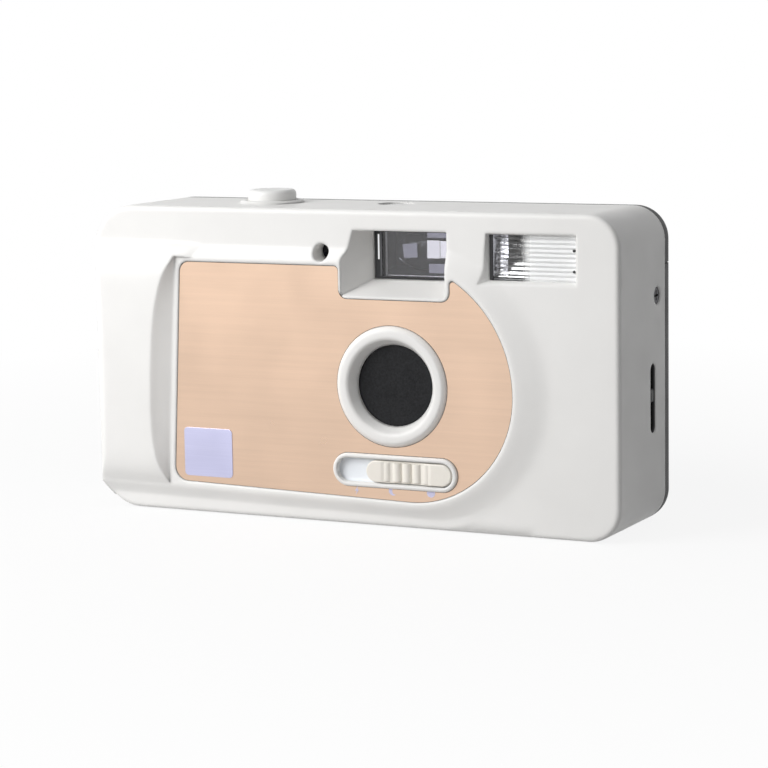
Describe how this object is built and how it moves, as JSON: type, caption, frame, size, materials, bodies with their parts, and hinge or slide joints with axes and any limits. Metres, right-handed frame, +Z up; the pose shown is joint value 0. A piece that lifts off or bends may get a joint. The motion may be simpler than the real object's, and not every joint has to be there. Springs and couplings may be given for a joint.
{
  "type": "compact film camera",
  "caption": "Pocket film camera with swinging lens cover, flash, hinged back door, thumb wheel film advance and folding rewind crank.",
  "frame": {"origin": "centre of the underside of the whole camera", "axes": "+X to the flash end (right seen from the front), +Y to the back door, +Z up to the shutter button"},
  "size_m": [0.122, 0.0356, 0.0689],
  "materials": {
    "white_plastic": "satin",
    "champagne_metal": "brushed",
    "cream_plastic": "satin",
    "steel": "brushed",
    "black_metal": "matt",
    "clear_window": "clear",
    "black_plastic": "matt",
    "mirror_metal": "polished",
    "tube_glass": "clear",
    "dark_eye": "gloss",
    "board_laminate": "satin",
    "sleeve_black": "gloss",
    "lens_glass": "coated",
    "dark_plastic": "satin",
    "back_plastic": "fine grain",
    "cell_jacket": "satin",
    "black_screw": "black oxide",
    "gear_plastic": "satin",
    "dial_plastic": "satin"
  },
  "bodies": {
    "camera_body": {"front_cover": "white_plastic", "faceplate": "champagne_metal", "viewfinder_window": "clear_window", "viewfinder_tunnel": "black_plastic", "viewfinder_eyepiece": "clear_window", "flash_window": "clear_window", "flash_reflector": "mirror_metal", "flash_tube": "tube_glass", "light_sensor": "dark_eye", "circuit_board": "board_laminate", "flash_capacitor": "sleeve_black", "counter_window": "clear_window", "lens_barrel": "black_plastic", "front_lens": "lens_glass", "rear_lens": "lens_glass", "lens_retainer": "black_metal", "film_chassis": "black_plastic", "hinge_pin": "steel", "rear_cover": "back_plastic", "battery": "cell_jacket", "battery_contact": "steel", "case_screws": "black_screw"},
    "switch": {"slide_switch": "cream_plastic", "switch_clip": "steel"},
    "lens_cover": {"lens_cover": "black_metal"},
    "shutter_button": {"shutter_button": "white_plastic"},
    "release_lever": {"release_lever": "steel"},
    "shutter_blade": {"shutter_blade": "black_metal"},
    "wind_spool": {"advance_wheel": "dark_plastic", "take_up_spool": "black_plastic", "spool_gear": "gear_plastic"},
    "idler": {"idler_gear": "gear_plastic"},
    "sprocket": {"sprocket_wheel": "black_plastic", "sprocket_gear": "gear_plastic", "counter_finger": "gear_plastic"},
    "counter": {"counter_dial": "dial_plastic"},
    "rewind": {"rewind_crank": "dark_plastic", "rewind_fork": "dark_plastic"},
    "crank_handle": {"crank_handle": "dark_plastic"},
    "rewind_button": {"rewind_button": "dark_plastic"},
    "back_door": {"back_door": "back_plastic"},
    "pressure_plate": {"pressure_plate": "black_metal", "pressure_spring": "steel"},
    "door_latch": {"door_latch": "dark_plastic"},
    "battery_door": {"battery_door": "white_plastic", "battery_spring": "steel"}
  },
  "joints": [
    {"name": "switch_slide", "type": "slide", "parent": "camera_body", "child": "switch", "axis": [-1, 0, 0], "range_m": [0, 0.0058]},
    {"name": "lens_cover_swing", "type": "hinge", "parent": "camera_body", "child": "lens_cover", "pos_m": [0.0116, -0.01365, 0.00771], "axis": [0, -1, 0], "range_deg": [0, 70.03]},
    {"name": "button_press", "type": "slide", "parent": "camera_body", "child": "shutter_button", "axis": [0, 0, -1], "range_m": [0, 0.0012], "stiffness_N_per_m": 400, "springref_m": -0.001},
    {"name": "lever_rock", "type": "hinge", "parent": "camera_body", "child": "release_lever", "pos_m": [-0.0116, -0.00035, 0.06165], "axis": [0, -1, 0], "range_deg": [0, 5.19]},
    {"name": "shutter_swing", "type": "hinge", "parent": "camera_body", "child": "shutter_blade", "pos_m": [0.0015, -0.00595, 0.0365], "axis": [0, 1, 0], "range_deg": [0, 36.02]},
    {"name": "wind_turn", "type": "hinge", "parent": "camera_body", "child": "wind_spool", "pos_m": [-0.0335, 0.00465, 0.0297], "axis": [0, 0, 1], "continuous": true},
    {"name": "idler_turn", "type": "hinge", "parent": "camera_body", "child": "idler", "pos_m": [-0.02327, 0.0001, 0.0554], "axis": [0, 0, 1], "continuous": true},
    {"name": "sprocket_turn", "type": "hinge", "parent": "camera_body", "child": "sprocket", "pos_m": [-0.01445, 0.007, 0.0297], "axis": [0, 0, 1], "continuous": true},
    {"name": "counter_turn", "type": "hinge", "parent": "camera_body", "child": "counter", "pos_m": [-0.0016, 0.00365, 0.0626], "axis": [0, 0, 1], "continuous": true},
    {"name": "rewind_turn", "type": "hinge", "parent": "camera_body", "child": "rewind", "pos_m": [0.0432, 0.00185, 0.001], "axis": [0, 0, 1], "continuous": true},
    {"name": "handle_fold", "type": "hinge", "parent": "rewind", "child": "crank_handle", "pos_m": [0.0495, 0.00185, 0.001], "axis": [0, -1, 0], "range_deg": [0, 120]},
    {"name": "rewind_release", "type": "slide", "parent": "camera_body", "child": "rewind_button", "axis": [0, 0, 1], "range_m": [0, 0.0012], "stiffness_N_per_m": 200, "springref_m": -0.001},
    {"name": "door_swing", "type": "hinge", "parent": "camera_body", "child": "back_door", "pos_m": [-0.0593, 0.01285, 0.0297], "axis": [0, 0, 1], "range_deg": [0, 110]},
    {"name": "pressure_slide", "type": "slide", "parent": "back_door", "child": "pressure_plate", "axis": [0, 1, 0], "range_m": [0, 0.0005], "stiffness_N_per_m": 500, "springref_m": -0.0005},
    {"name": "latch_slide", "type": "slide", "parent": "camera_body", "child": "door_latch", "axis": [0, 0, -1], "range_m": [0, 0.003], "stiffness_N_per_m": 150, "springref_m": -0.002},
    {"name": "battery_door_swing", "type": "hinge", "parent": "camera_body", "child": "battery_door", "pos_m": [-0.0435, -0.00505, 0.001], "axis": [0, -1, 0], "range_deg": [0, 100]}
  ],
  "couplings": [
    {"joint": "lens_cover_swing", "follows": "switch_slide", "rad_per_m": 210.71},
    {"joint": "lever_rock", "follows": "button_press", "rad_per_m": 75.188},
    {"joint": "shutter_swing", "follows": "button_press", "rad_per_m": 523.6},
    {"joint": "idler_turn", "follows": "wind_turn", "ratio": -1.3333},
    {"joint": "sprocket_turn", "follows": "wind_turn", "ratio": 1},
    {"joint": "counter_turn", "follows": "wind_turn", "ratio": -0.041667}
  ]
}
